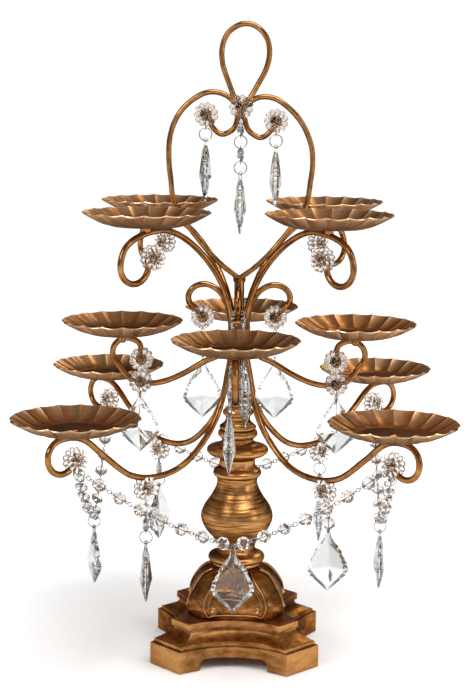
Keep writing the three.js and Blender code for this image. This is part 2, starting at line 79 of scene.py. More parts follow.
class Nodes:
    """A short way to write a node tree."""

    def __init__(self, tree):
        self.tree = tree

    def add(self, kind, inputs=(), **settings):
        node = self.tree.nodes.new(kind)
        for key, value in settings.items():
            setattr(node, key, value)
        for key, value in dict(inputs).items():
            self.feed(node.inputs[key], value)
        return node

    def feed(self, socket, value):
        if isinstance(value, bpy.types.NodeSocket):
            self.tree.links.new(value, socket)
        else:
            socket.default_value = value

    def math(self, operation, a, b=0.0, clamp=False):
        return self.add("ShaderNodeMath", {0: a, 1: b}, operation=operation, use_clamp=clamp).outputs[0]

    def ramp(self, value, low, high, to_low=0.0, to_high=1.0):
        inputs = {"Value": value, "From Min": low, "From Max": high, "To Min": to_low, "To Max": to_high}
        return self.add("ShaderNodeMapRange", inputs, interpolation_type="SMOOTHSTEP").outputs[0]

    def mix(self, factor, a, b):
        return self.add("ShaderNodeMix", {0: factor, 6: a, 7: b}, data_type="RGBA").outputs[2]

    def noise(self, vector, scale, detail, roughness=0.55, distortion=0.0):
        inputs = {"Vector": vector, "Scale": scale, "Detail": detail, "Roughness": roughness,
                  "Distortion": distortion}
        return self.add("ShaderNodeTexNoise", inputs).outputs["Fac"]

    def attribute(self, name):
        return self.add("ShaderNodeAttribute", attribute_name=name).outputs["Fac"]


class Surface(Nodes):
    """The node tree of a new material."""

    def __init__(self, name):
        self.material = bpy.data.materials.new(name)
        self.material.use_nodes = True
        super().__init__(self.material.node_tree)
        self.place = self.add("ShaderNodeTexCoord").outputs["Object"]

    def relief(self, height, strength, distance):
        inputs = {"Height": height, "Strength": strength, "Distance": distance}
        return self.add("ShaderNodeBump", inputs).outputs[0]

    def finished(self, inputs):
        """The material, once its shader's inputs are set."""
        shader = self.tree.nodes["Principled BSDF"]
        for key, value in inputs.items():
            self.feed(shader.inputs[key], value)
        return self.material


def bronze(name, dark, mid, light, patch, streaks, glaze, stretch=(1, 1, 1), rough=(0.24, 0.40), bump=0.25):
    """Antique bronze: a brushed gold-brown coat over a dark ground, with bright edges of worn
    metal and painted highlight. Two attributes, from 0 to 1, brighten ridges with wear and painted
    highlight, and darken corners and hollows with painted shade. patch is the scale of the clouds;
    streaks and glaze say how strong the brushing and clouds are."""
    n = Surface(name)
    along = n.add("ShaderNodeMapping", {"Vector": n.place, "Scale": stretch}).outputs[0]
    cloud = n.noise(n.place, patch, 5.0, 0.62, 0.3)
    streak = n.noise(along, 62.0, 7.0, 0.66, 0.1)
    grain = n.noise(n.place, 1100.0, 3.0, 0.6)
    wear, painted_shade = n.attribute("wear"), n.attribute("painted_shade")
    clouds = n.ramp(cloud, 0.52, 0.30, 0.0, glaze)
    # Painted shade: the second attribute darkens corners and hollows.
    darkened = n.math("ADD", clouds, n.math("MULTIPLY", painted_shade, 0.85), clamp=True)
    colour = n.mix(n.ramp(streak, 0.36, 0.66, 0.0, streaks), rgb(mid), rgb(light))
    colour = n.mix(n.ramp(streak, 0.46, 0.28, 0.0, streaks), colour, rgb(dark))
    colour = n.mix(darkened, colour, rgb(dark))
    colour = n.mix(n.ramp(grain, 0.60, 0.78, 0.0, 0.3), colour, rgb(dark))
    # Worn metal and painted highlight: the first attribute lightens ridges and edges.
    colour = n.mix(n.math("MULTIPLY", wear, n.ramp(grain, 0.25, 0.5, 0.7, 1.0)), colour, rgb(light))
    gloss = n.math("ADD", n.ramp(streak, 0.3, 0.7, rough[1], rough[0]), n.math("MULTIPLY", painted_shade, 0.14))
    height = n.math("ADD", n.math("MULTIPLY", streak, 0.9), n.math("MULTIPLY", grain, 0.3))
    return n.finished({
        "Base Color": colour,
        "Roughness": gloss,
        "Metallic": 0.92,
        # A dark edge tint: painted shade along the metal's grazing edges.
        "Specular Tint": rgb("2c1408"),
        "Coat Weight": 0.05,
        "Coat Roughness": 0.25,
        "Normal": n.relief(height, bump, 0.0004),
    })


def crystal(name, tint, edge, ior=1.54, ripples=0.10, depth=0.0):
    """Clear pressed glass with faint ripples and a few dull scuffs, its colour going to edge at
    grazing outlines as painted shade. depth is the density of a grey that takes up light inside
    it, painted shade in place of the darker surroundings seen through the glass."""
    n = Surface(name)
    # Painted shade: a grey taken up inside the glass.
    if depth:
        body = n.add("ShaderNodeVolumeAbsorption", {"Color": rgb("565c5c"), "Density": depth})
        n.feed(n.tree.nodes["Material Output"].inputs["Volume"], body.outputs[0])
    # Painted shade: towards grazing outlines the colour goes to edge.
    outline = n.add("ShaderNodeLayerWeight", {"Blend": 0.5}).outputs["Facing"]
    scuff = n.noise(n.place, 320.0, 4.0, 0.7)
    ripple = n.noise(n.place, 140.0, 2.0, 0.5)
    return n.finished({
        "Base Color": n.mix(n.ramp(outline, 0.5, 0.95), rgb(tint), rgb(edge)),
        "Transmission Weight": 1.0,
        "IOR": ior,
        "Roughness": n.ramp(scuff, 0.6, 0.85, 0.0, 0.08),
        "Normal": n.relief(ripple, ripples, 0.0006),
    })


def plated(name, tone, dull, rough):
    """Bright plated wire with a little tarnish."""
    n = Surface(name)
    cloud = n.noise(n.place, 210.0, 4.0, 0.6)
    fine = n.noise(n.place, 1500.0, 2.0, 0.5)
    return n.finished({
        "Base Color": n.mix(n.ramp(cloud, 0.4, 0.7), rgb(tone), rgb(dull)),
        "Roughness": n.ramp(cloud, 0.3, 0.8, rough, rough + 0.2),
        "Metallic": 1.0,
        "Normal": n.relief(fine, 0.15, 0.0002),
    })


WIRE = bronze("wire_bronze", "2c1406", "8a5828", "ecb87c", 55.0, 0.25, 0.4, rough=(0.11, 0.2), bump=0.10)
PLATE = bronze("plate_bronze", "462810", "925f32", "eac49c", 20.0, 0.22, 0.4, rough=(0.26, 0.38), bump=0.10)
CAST = bronze("cast_bronze", "241004", "7e4a1c", "dca468", 22.0, 0.42, 0.6, (1.0, 1.0, 2.4), bump=0.22)
TURNED = bronze("turned_bronze", "241004", "7c4e22", "e6ac6c", 26.0, 0.8, 0.5, (0.5, 0.5, 9.0), bump=0.35)
TUBE = bronze("tube_bronze", "1e0c04", "704420", "d09c5c", 45.0, 0.6, 0.5, (6.0, 6.0, 0.5))
# Each crystal's second colour is painted shade at its outlines; the drops' glass also holds painted grey
# shade inside.
GLASS = crystal("clear_crystal", "e4e7e6", "a09e9a", ripples=0.03, depth=4.0)
BEAD_GLASS = crystal("bead_crystal", "e0dbd6", "6c625a")
FLOWER = crystal("flower_crystal", "efe9e3", "66564a", 1.5, 0.05)
CHROME = plated("chrome_wire", "8c8c8a", "4a4947", 0.14)
STEEL = plated("zinc_steel", "a2a2a0", "74736f", 0.3)


# ---- Mesh tools ----
class Solid:
    """Points in mm, faces and two painted values, gathered from several shapes."""

    def __init__(self):
        self.points, self.faces, self.wear, self.painted_shade = [], [], [], []

    def take(self, points, faces, wear=0.0, painted_shade=0.0):
        start = len(self.points)
        points = [tuple(p) for p in points]
        self.points.extend(points)
        self.faces.extend([tuple(i + start for i in face) for face in faces])
        for store, value in ((self.wear, wear), (self.painted_shade, painted_shade)):
            store.extend([value] * len(points) if np.isscalar(value) else list(value))
        return self

    def add(self, other, matrix=None):
        points = other.points if matrix is None else [matrix @ Vector(p) for p in other.points]
        return self.take(points, other.faces, other.wear, other.painted_shade)

    def painted(self, wear=0.0, painted_shade=0.0):
        """The same solid with one value of each painted attribute all over: wear with painted highlight, and
        painted shade.
        """
        self.wear, self.painted_shade = ([value] * len(self.points) for value in (wear, painted_shade))
        return self


def new_mesh(name, points, faces):
    mesh = bpy.data.meshes.new(name)
    mesh.from_pydata(points, [], faces)
    mesh.update()
    return mesh


def new_object(name, data):
    obj = bpy.data.objects.new(name, data)
    bpy.context.scene.collection.objects.link(obj)
    return obj


def turn_outward(mesh):
    """Turns each closed shell of a mesh so that its faces point out."""
    work = bmesh.new()
    work.from_mesh(mesh)
    bmesh.ops.recalc_face_normals(work, faces=work.faces)
    seen = set()
    for first in work.faces:
        if first in seen:
            continue
        seen.add(first)
        shell = [first]
        for face in shell:
            for other in (linked for edge in face.edges for linked in edge.link_faces):
                if other not in seen:
                    seen.add(other)
                    shell.append(other)
        middle = shell[0].verts[0].co
        volume = sum((face.verts[0].co - middle).dot(face.normal) * face.calc_area() for face in shell)
        if volume < 0:
            bmesh.ops.reverse_faces(work, faces=shell)
    work.to_mesh(mesh)
    work.free()


def piece(name, solid, material, replaced=(), smooth=35.0, body="stand"):
    """One visible object on a body. smooth is the angle in degrees up to which edges are
    shaded round, or None for flat facets."""
    mesh = new_mesh(name, [[c * MM for c in p] for p in solid.points], solid.faces)
    mesh.validate()
    turn_outward(mesh)
    for key, values in (("wear", solid.wear), ("painted_shade", solid.painted_shade)):
        if any(values):
            mesh.attributes.new(key, "FLOAT", "POINT").data.foreach_set("value", values)
    mesh.polygons.foreach_set("use_smooth", [smooth is not None] * len(mesh.polygons))
    if smooth is not None:
        mesh.set_sharp_from_angle(angle=math.radians(smooth))
    mesh.materials.append(material)
    mesh.update()
    obj = new_object(name, mesh)
    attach(obj, body)
    if replaced:
        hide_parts(*replaced)


def spoke(degrees, axis="Z"):
    return Matrix.Rotation(math.radians(degrees), 4, axis)


def moved(x, y, z):
    return Matrix.Translation((x, y, z))


def circle(count):
    """Evenly spaced angles of a full turn."""
    return [2 * math.pi * k / count for k in range(count)]


def polar(radius, angle):
    return radius * math.cos(angle), radius * math.sin(angle)


QUARTERS = [spoke(90 * side) for side in range(4)]


def spline(points, spacing):
    """Evenly spaced points on the centripetal Catmull-Rom curve through points."""
    ctrl = [np.array(p, float) for p in points]
    ctrl = [2 * ctrl[0] - ctrl[1], *ctrl, 2 * ctrl[-1] - ctrl[-2]]
    out = []
    for p0, p1, p2, p3 in zip(ctrl, ctrl[1:], ctrl[2:], ctrl[3:]):
        d0, d1, d2 = (max(np.linalg.norm(b - a), 1e-6) ** 0.5 for a, b in ((p0, p1), (p1, p2), (p2, p3)))
        m1 = ((p1 - p0) / d0 - (p2 - p0) / (d0 + d1) + (p2 - p1) / d1) * d1
        m2 = ((p2 - p1) / d1 - (p3 - p1) / (d1 + d2) + (p3 - p2) / d2) * d1
        for t in np.linspace(0, 1, 24, endpoint=False):
            out.append(p1 + m1 * t + (-3 * p1 + 3 * p2 - 2 * m1 - m2) * t * t
                       + (2 * p1 - 2 * p2 + m1 + m2) * t ** 3)
    out = np.array([*out, ctrl[-2]])
    along = np.concatenate([[0], np.cumsum(np.linalg.norm(np.diff(out, axis=0), axis=1))])
    steps = max(2, round(along[-1] / spacing))
    at = np.linspace(0, along[-1], steps + 1)
    return np.array([np.interp(at, along, out[:, k]) for k in range(out.shape[1])]).T


def strips(rows, count, closed_rows=False):
    """Quads between rings of count points each, the rings closed on themselves."""
    faces = []
    for r in range(rows if closed_rows else rows - 1):
        a, b = r * count, ((r + 1) % rows) * count
        for i in range(count):
            j = (i + 1) % count
            faces.append((a + i, a + j, b + j, b + i))
    return faces


def caps(rows, count):
    """The two flat ends of a stack of rings."""
    return [tuple(range(count))[::-1], tuple(range((rows - 1) * count, rows * count))]


def tube(path, radius, sides, closed=False, uneven=0.0):
    """Round wire along points, with rounded ends. uneven is a share of the radius."""
    path = np.array(path, float)
    ahead = np.roll(path, -1, axis=0) if closed else np.vstack([path[1:], path[-1:]])
    behind = np.roll(path, 1, axis=0) if closed else np.vstack([path[:1], path[:-1]])
    tangent = ahead - behind
    tangent /= np.linalg.norm(tangent, axis=1)[:, None]
    guide = np.linalg.svd(path - path.mean(0))[2][-1]
    rings = [(middle, forward, 1.0) for middle, forward in zip(path, tangent)]
    if not closed:
        round_end = ((0.45, 0.88), (0.8, 0.58), (0.98, 0.15))
        for sign, end in ((-1, 0), (1, -1)):
            cap = [(path[end] + sign * tangent[end] * radius * out, tangent[end], size)
                   for out, size in round_end]
            rings = cap[::-1] + rings if sign < 0 else rings + cap
    points = []
    for middle, forward, grow in rings:
        side = guide - forward * guide.dot(forward)
        side /= np.linalg.norm(side)
        up = np.cross(forward, side)
        swell = grow * radius * (1 + uneven * noise.noise(Vector(middle) * 0.11))
        points += [middle + swell * (math.cos(a) * side + math.sin(a) * up) for a in circle(sides)]
    faces = strips(len(rings), sides, closed)
    if not closed:
        faces += caps(len(rings), sides)
    return Solid().take(points, [face[::-1] for face in faces])


def planar(points):
    """A wire's path in the XZ plane through (x, z) pairs."""
    return [(x, 0.0, z) for x, z in spline(points, 2.5)]


def arc(x, z, radius, start, end, count):
    """Points around (x, z), from one angle to another in degrees."""
    spots = [polar(radius, math.radians(start + (end - start) * i / (count - 1))) for i in range(count)]
    return [(x + out, z + up) for out, up in spots]


def ring_wire(centre, radius, wire, normal, sides, steps, oval=1.0):
    """A closed round wire ring; oval stretches it along Z."""
    normal = Vector(normal).normalized()
    turn = Vector((0, 1, 0)).rotation_difference(normal).to_matrix()
    loop = []
    for a in circle(steps):
        out, up = polar(radius, a)
        flat = turn @ Vector((out, 0, up))
        loop.append((flat.x + centre[0], flat.y + centre[1], flat.z * oval + centre[2]))
    return tube(loop, wire, sides, closed=True)


def loft(rings):
    """A solid through rings of equal count, with flat ends."""
    rows, count = len(rings), len(rings[0])
    return Solid().take([p for ring in rings for p in ring], strips(rows, count) + caps(rows, count))


def lathe(profile, sides):
    """A turned solid from (radius, height) pairs, low end first."""
    return loft([[(*polar(radius, a), height) for a in circle(sides)] for radius, height in profile])


def paint_edges(solid, gain=1.0):
    """Sets worn metal and painted highlight on convex edges and painted shade in concave ones, spread to
    their neighbours.
    """
    mesh = new_mesh("edges", solid.points, solid.faces)
    count = len(mesh.vertices)
    at = np.array([v.co[:] for v in mesh.vertices])
    normal = np.array([v.normal[:] for v in mesh.vertices])
    starts, ends = np.array([e.vertices[:] for e in mesh.edges]).T
    both_ways = ((starts, ends), (ends, starts))
    bend, share = np.zeros(count), np.zeros(count)
    for a, b in both_ways:
        step = at[b] - at[a]
        length = np.maximum(np.linalg.norm(step, axis=1), 1e-6)
        np.add.at(bend, a, (normal[a] * step).sum(1) / length)
        np.add.at(share, a, 1)
    bend /= np.maximum(share, 1)
    for _ in range(2):
        total, times = bend.copy(), np.ones(count)
        for a, b in both_ways:
            np.add.at(total, a, bend[b])
            np.add.at(times, a, 1)
        bend = 0.5 * bend + 0.5 * total / times
    bpy.data.meshes.remove(mesh)
    solid.wear = list(np.clip(-bend * gain * 4 - 0.15, 0, 1))
    solid.painted_shade = list(np.clip(bend * gain * 6 - 0.05, 0, 1))
    return solid


def modified(solid, cutters, bevel=0.0):
    """The solid after cuts and a bevel along its sharp edges, in mm."""
    meshes = [new_mesh("work", part.points, part.faces) for part in (solid, *cutters)]
    obj, *tools = (new_object("work", mesh) for mesh in meshes)
    for tool in tools:
        step = obj.modifiers.new("cut", "BOOLEAN")
        step.object, step.operation, step.solver = tool, "DIFFERENCE", "EXACT"
    if bevel:
        step = obj.modifiers.new("edges", "BEVEL")
        step.width, step.segments, step.limit_method = bevel, 3, "ANGLE"
        step.angle_limit = math.radians(24)
    graph = bpy.context.evaluated_depsgraph_get()
    done = bpy.data.meshes.new_from_object(obj.evaluated_get(graph))
    result = Solid().take([v.co[:] for v in done.vertices], [tuple(p.vertices) for p in done.polygons])
    for extra in [obj, *tools]:
        data = extra.data
        bpy.data.objects.remove(extra)
        bpy.data.meshes.remove(data)
    bpy.data.meshes.remove(done)
    return result


# ---- Plates ----
def smoothstep(low, high, value):
    t = min(1.0, max(0.0, (value - low) / (high - low)))
    return t * t * (3 - 2 * t)


def plate_wall(phase, s):
    """Radius, height, painted highlight with wear, and painted shade of a plate's inner face. phase
    goes from 0 to 1 across a flute, and s from 0 at the floor to 1 at the rim."""
    floor, curve = 35.0, 1.22
    setback, reach, dip = 2.1, 1.9, 1.4
    flute_depth, lip_height, crease = 1.2, 0.35, 0.05
    swell = 1 - (2 * phase - 1) ** 2
    ridge = math.exp(-(min(phase, 1 - phase) / crease) ** 2)
    start = 0.05 + 0.13 * (2 * phase - 1) ** 2
    flute = smoothstep(start, start + 0.5, s)
    lip = smoothstep(start - 0.04, start + 0.05, s) * (1 - smoothstep(start + 0.05, start + 0.2, s))
    radius = floor + (PLATE_RADIUS - setback + reach * swell - floor) * s
    height = PLATE_WALL + (PLATE_DEPTH - dip * swell - PLATE_WALL) * s ** curve
    height += lip_height * lip - flute_depth * flute * (1.02 - s) * swell
    # Painted highlight along the crease ridges, growing towards the rim, and a bright rim of worn metal and
    # painted highlight.
    wear = (0.6 * ridge * flute + 0.25) * s * s + 0.45 * smoothstep(0.97, 1.0, s)
    # Painted shade on the floor and down the flutes.
    painted_shade = 0.5 * (1 - smoothstep(0.0, 0.4, s)) + 0.18 * (1 - ridge) * (1 - s) * flute
    return radius, height, min(1.0, wear), painted_shade


def plate_back(radius, height, wear, painted_shade, at_rim):
    """The outer face of a plate, behind a point of the inner one."""
    if at_rim:
        radius, height = radius + 0.35, height - 0.9
    else:
        radius += 0.25 * smoothstep(30.0, 44.0, radius)
        height = max(0.0, height - PLATE_WALL)
    # The outer face is painted lighter as a painted reflection of the pale floor, and keeps half of the
    # painted shade.
    return radius, height, wear * 0.85 + 0.3, painted_shade * 0.5


def plate():
    """A fluted dish: each flute ends in a rounded crescent at the floor, and the creases
    between flutes stand up as thin ridges that reach the rim."""
    per_lobe, steps = 12, 22
    sides = PLATE_LOBES * per_lobe
    # The flat floor carries painted shade.
    inner = [[(radius, PLATE_WALL, 0.0, 0.6)] * sides for radius in (1.9, 10.0, 20.0, 29.0)]
    for i in range(steps + 1):
        inner.append([plate_wall(k % per_lobe / per_lobe, i / steps) for k in range(sides)])
    outer = [[plate_back(*spot, row is inner[-1]) for spot in row] for row in reversed(inner)]
    rows = inner + outer
    radii, heights, wear, painted_shade = zip(*(spot for row in rows for spot in row))
    points = [(*polar(r, a), z) for r, a, z in zip(radii, circle(sides) * len(rows), heights)]
    return Solid().take(points, strips(len(rows), sides, closed_rows=True), wear, painted_shade)


def screw():
    """A low round head with a cross recess, above a plain shank."""
    profile = [(1.5, -2.7), (1.5, 1.5), (3.9, 1.5), (4.0, 1.9), (3.7, 2.4), (2.8, 2.75), (1.4, 2.85)]
    cross = []
    for turn in (0, 90):
        bar = loft([[(x * 2.1, y * 0.35, z) for x, y in ((-1, -1), (1, -1), (1, 1), (-1, 1))]
                    for z in (2.1, 3.6)])
        cross.append(Solid().add(bar, spoke(turn)))
    return modified(lathe(profile, 32), cross)


PLATE_SHAPE, SCREW_SHAPE = plate(), screw()


def add_plate(tier, side, azimuth):
    radius, rim = TIERS[tier]
    own_turn = spoke(10 + azimuth * 0.7)
    seat = spoke(azimuth) @ moved(radius, 0, rim - PLATE_DEPTH) @ own_turn
    name = f"{tier}_{side}"
    dish, fixing = Solid().add(PLATE_SHAPE, seat), Solid().add(SCREW_SHAPE, seat)
    piece(f"{name}_dish", dish, PLATE, [f"{name}_plate"], smooth=24.0)
    piece(f"{name}_fixing", fixing, WIRE, [f"{name}_plate_screw"])


# ---- Wires, rosettes and bosses ----
# A row's petals, its middle and half width as shares of the radius, and the low and high
# of its petals as shares of the flower's height.
INNER_PETALS, OUTER_PETALS = (7, 0.29, 0.21, 0.42, 0.86), (11, 0.75, 0.25, 0.14, 0.62)


def flower(height):
    """One pressed-glass flower on the plane z = 0: eleven outer petals and seven inner
    ones that stand higher, each with a flat top and steep sides."""
    outer = OUTER_PETALS[0]
    rings = [0.1, 0.16, 0.24, 0.34, 0.42, 0.47, 0.5, 0.53, 0.57, 0.64, 0.74, 0.84, 0.91, 0.96, 0.99, 1.0]
    top = []
    for s in rings:
        petals, middle, half, low, high = INNER_PETALS if s < 0.5 else OUTER_PETALS
        upper = []
        for a in circle(outer * 14):
            turn = a / (2 * math.pi)
            across, along = 2 * (turn * petals % 1) - 1, (s - middle) / half
            rim = 2 * (turn * outer % 1) - 1
            edge = ROSETTE_RADIUS * (0.85 + 0.15 * math.sqrt(1 - 0.96 * rim * rim))
            out = min(1.0, math.hypot(0.97 * across, along))
            spot = polar(edge * s, a)
            upper.append((*spot, height * (low + (high - low) * math.sqrt(1 - out ** 4))))
        top.append(upper)
    bottom = [[(x, y, 0.0) for x, y, _ in ring] for ring in top]
    return loft(bottom + top[::-1])


def pin_head(height):
    dome = [(0.4, 0.5), (1.0, 0.52), (1.1, 0.6), (0.8, 0.7), (0.2, 0.74)]
    return lathe([(radius, height * share) for radius, share in dome], 12)


def rosette_pair(tip, wire):
    """Two flowers, one on each face of the wire, the washer between them, and their pins."""
    x, z = tip
    back = wire + 0.2
    height = ROSETTE_HALF - back
    glass, pins = Solid(), Solid()
    disc = [(0.6, -back), (5.0, -back), (6.2, 0.8 - back), (6.2, back - 0.8), (5.0, back), (0.6, back)]
    washer = Solid().add(lathe(disc, 24), moved(x, 0, z) @ spoke(90, "X"))
    for sign in (-1, 1):
        seat = moved(x, sign * back, z) @ spoke(-90 * sign, "X")
        glass.add(flower(height), seat)
        pins.add(pin_head(height), seat)
    shaft = [(x, y, z) for y in np.linspace(-back - 2.0, back + 2.0, 5)]
    pins.add(tube(shaft, 0.4, 6))
    return glass, pins, washer


def boss(x, low, high):
    """The sleeve on a wire that a plate's screw goes into."""
    profile = [(2.0, low - 2.0), (4.2, low), (4.6, low + 0.8),
               (4.4, high - 1.2), (4.9, high - 0.6), (4.9, high)]
    return Solid().add(lathe(profile, 24), moved(x, 0, 0))


def wires(name, node, azimuth, paths, radius, tips, bosses=()):
    """A bent wire, or several welded ones, with its bosses and its rosettes."""
    turn = spoke(azimuth)
    weld_reach, weld_low, weld_high = 13.5, 325, 365
    metal, glass, pins, washers = (Solid() for _ in range(4))
    for path in paths:
        metal.add(tube(planar(path), radius, 16, uneven=0.05), turn)
    for x, low, high in bosses:
        metal.add(boss(x, low, high), turn)
    for tip in tips:
        for whole, part in zip((glass, pins, washers), rosette_pair(tip, radius)):
            whole.add(part, turn)
    # Painted shade on the wire near its rosettes and where it is welded to the tube.
    near = [turn @ Vector((x, 0, z)) for x, z in tips]
    for i, point in enumerate(metal.points):
        close = min((Vector(point) - tip).length for tip in near)
        weld = math.hypot(point[0], point[1]) < weld_reach and weld_low < point[2] < weld_high
        metal.painted_shade[i] = max(0.5 * (1 - smoothstep(3, 12, close)), 0.6 * weld)
    # The washers are painted lighter: worn metal and painted highlight.
    metal.add(washers.painted(wear=0.45))
    piece(f"{name}_wire", metal, WIRE, [node])
    piece(f"{name}_rosettes", glass, FLOWER, smooth=50.0)
    piece(f"{name}_rosette_pins", pins, WIRE)


MAIN_ARM = [
    TOP_CURL_TIP, *arc(142, 423.5, 18, 165, 370, 8),
    (154, 441), (141, 450), (116.5, 456), (96, 455), (66, 440), (36, 412), (18, 383), (10.5, 360),
    (8.9, 342), (10.5, 324), (15, 304), (22, 277), (32, 255), (48, 235), (76, 214), (108, 207),
    (145, 213), (180, 238), (204, 257.5), (218, 262.5),
    *arc(232.5, 245.5, 17, 78, -175, 9), BOTTOM_CURL_TIP,
]
MIDDLE_ARM = [
    INNER_CURL_TIP, (45, 368), (51.5, 374), (53, 382), (47, 391), (35, 394), (22, 388), (12.5, 374),
    (8.9, 358), (8.9, 340), (12.5, 327), (21, 319), (36, 312), (58, 299), (78, 290.5), (96, 288),
    (113, 292), *arc(117, 320.5, 15.5, 118, -50, 7)[::-1], (104, 330), OUTER_CURL_TIP,
]
HANDLE_HALF_LOOP = [
    (0, 661), (6.5, 660), (14, 655.6), (20.5, 648), (24.2, 634), (22.2, 618), (15.5, 602), (8, 586),
    (2.8, 576), (3.7, 565), (7, 555), (13.5, 549.5), (20, 547.5), (26.5, 551), (31.5, 557.5), (34, 566),
]
HANDLE_SCROLL = [
    (3, 577), (8, 582), (15, 587), (25, 589.5), (36, 588), (48, 581), (59.5, 570), (68, 556),
    (73, 540), (74, 521), (72, 502), (68, 477), (54, 455), (34, 430), (17, 413), (3, 402.8),
]


def mirrored(points):
    return [(-x, z) for x, z in points]


def tilted(points):
    """The top of the handle falls towards the right; its legs stand level."""
    fall, level_below, full_above = 0.083, 480, 560
    return [(x, z - fall * x * smoothstep(level_below, full_above, z)) for x, z in points]


def handle_paths():
    """The teardrop loop, whose top leans to the right, and the scroll on either side."""
    crossing, lean = HANDLE_CROSSING[1], 6.0
    height = HANDLE_HALF_LOOP[0][1] - crossing
    loop = mirrored(HANDLE_HALF_LOOP)[::-1] + HANDLE_HALF_LOOP[1:]
    leaning = [(x + lean * max(0.0, (z - crossing) / height), z) for x, z in loop]
    scroll = HANDLE_SCROLL[:-1] + [(1.6, 401.4)]
    return [tilted(path) for path in (leaning, scroll, mirrored(scroll))]


def weld_blobs():
    """Small uneven brazed fillets where the arms and handle meet the tube."""
    solid = Solid()
    # Direction, distance from the axis, height, half width and half height of each.
    spots = [(az, 7.0, z, 2.3, 5.5) for az in range(0, 360, 45) for z in (343.0, 352.0)]
    spots += [(az, 4.6, 399.5, 2.0, 3.6) for az in (0, 180)]
    for az, radius, z, wide, tall in spots:
        rings = []
        for t in np.linspace(-1, 1, 7):
            size = wide * math.sqrt(max(0.02, 1 - t * t))
            ring = []
            for k, a in enumerate(circle(10)):
                lump = 1 + 0.25 * noise.noise(Vector((az + k, z * 0.3, t * 2.0)))
                out, aside = polar(size * lump, a)
                ring.append((radius + out, aside, z + tall * t))
            rings.append(ring)
        # The fillets carry painted shade all over.
        solid.add(loft(rings).painted(painted_shade=0.6), spoke(az))
    return solid


# ---- Base and column ----
def hollow_plan(reach, half, sag, height):
    """A square outline with cut corners and hollow sides: how far the sides stand from the
    axis, their half length, and how deep they are hollowed."""
    ring, steps = [], 20
    for turn in QUARTERS:
        for i in range(steps + 1):
            along = half * (2 * i / steps - 1)
            depth = reach - sag * (1 - (along / half) ** 2)
            ring.append(tuple(turn @ Vector((depth, along, height))))
    return ring


def arch_cutter(turn):
    outline = [(-35, -5), (-35, 4), (-34.6, 7), (-33.2, 9.6), (-31, 11.2), (-28, 11.9), (-25, 12)]
    outline += mirrored(outline[::-1])
    return Solid().add(loft([[(x, y, z) for x, z in outline] for y in (-110, 110)]), spoke(turn))


def bore(low, high):
    """The cutter for the tie rod's hole."""
    return lathe([(ROD_BORE, low), (ROD_BORE, high)], 16)


def plinth():
    cove_foot, cove_height, cove_curve = 27.2, 10.6, 2.1
    rows = [(88, 55, 21, 0), (88, 55, 21, 23), (84, 53, 20, 23), (84, 53, 20, 26.6), (82.3, 52.2, 20, 26.6)]
    for u in (i / 8 for i in range(9)):
        spread = (1 - u) ** cove_curve
        rows.append((64 + 18 * spread, 45 + 7 * spread, 16 + 4 * spread, cove_foot + cove_height * u))
    rows += [(64, 45, 16, 39), (66.5, 47, 16, 39.4), (66.5, 47, 16, 46)]
    body = modified(loft([hollow_plan(*row) for row in rows]), [arch_cutter(0), arch_cutter(90)])
    nut_recess = lathe([(12, 8), (12, 22)], 32)
    return paint_edges(modified(body, [nut_recess, bore(0, 60)], bevel=0.9))


# How far a panel stands from the axis, its half width and its height, going up.
DOME_ROWS = [
    (46.9, 32.4, 46.3), (48.4, 33.2, 48.6), (49.4, 33.7, 51.6), (50, 34, 55), (49.9, 34, 59),
    (49, 33.5, 63), (47.5, 32, 67), (45.5, 29.8, 71), (43.6, 27.4, 74.5), (41.6, 24.4, 78),
    (39.2, 20.8, 81.5), (36.2, 17, 85), (32.6, 13.8, 88), (28, 11, 90), (25, 10, 91.2), (22, 9, 92),
]
FRAME_INNER = [(12.5, 91), (13.8, 86.5), (16.8, 80.5), (21.4, 74.5), (25.6, 68), (27.6, 62), (27.4, 58.5)]
FRAME_OUTER = [(16.2, 91), (18.8, 86.5), (23.2, 80), (28.2, 73.4), (31.6, 66), (32.6, 59.5), (31, 53.5),
               (28, 48.6)]
FRAME_FOOT = [(28, 48.6), (22, 50.6), (14, 51.4), (0, 51.6)]
# Each raised line of a panel's frame, its wire radius and how far it stands out.
FRAME_LINES = [(FRAME_INNER, 0.75, 0.4), (FRAME_OUTER, 0.95, 0.2), (FRAME_FOOT, 0.75, 0.3)]
KNOB = (23.3, 55.2)


def panel_depth(y, z):
    """How far a dome panel's face stands from the axis at (y, z); the field inside the
    raised frame is sunk."""
    sink, swell = 1.6, 0.03
    reach, half = (np.interp(z, [row[2] for row in DOME_ROWS], [row[i] for row in DOME_ROWS]) for i in (0, 1))
    widths, heights = zip(*FRAME_INNER[::-1])
    edge = np.interp(z, heights, widths) - 3.0 * (1 - smoothstep(52, 60, z))
    field = 1 - smoothstep(edge - 2.2, edge + 0.3, abs(y))
    sunk = sink * field * smoothstep(50, 53, z) * (1 - smoothstep(89, 92, z))
    return reach * (1 + swell * (1 - min(1.0, (y / half) ** 2))) - sunk


def knob(mirror):
    """A round button in a raised collar, on the panel that faces +X."""
    face = panel_depth(*KNOB)
    profile = [(4.5, -1.5), (4.5, 0.9), (4.1, 1.3), (3.7, 1.2), (3.4, 0.5)]
    profile += [(3.1 * math.cos(a), 0.6 + 3.2 * math.sin(a)) for a in np.radians((0, 25, 50, 70, 84))]
    rings = []
    for radius, out in profile:
        spots = [polar(radius, a) for a in circle(24)]
        ring = [(face + out, KNOB[0] * mirror + across, KNOB[1] + up) for across, up in spots]
        rings.append(ring if mirror > 0 else ring[::-1])
    # The knob is painted lighter all over: worn metal and painted highlight.
    return loft(rings).painted(wear=0.7)


def shaded_around(painted_shade, points, spot, amount, reach, power):
    """The painted shade of points, with more of it around a spot."""
    gap = np.linalg.norm(points - np.array(spot), axis=1)
    return np.maximum(painted_shade, amount * np.exp(-(gap / reach) ** power))


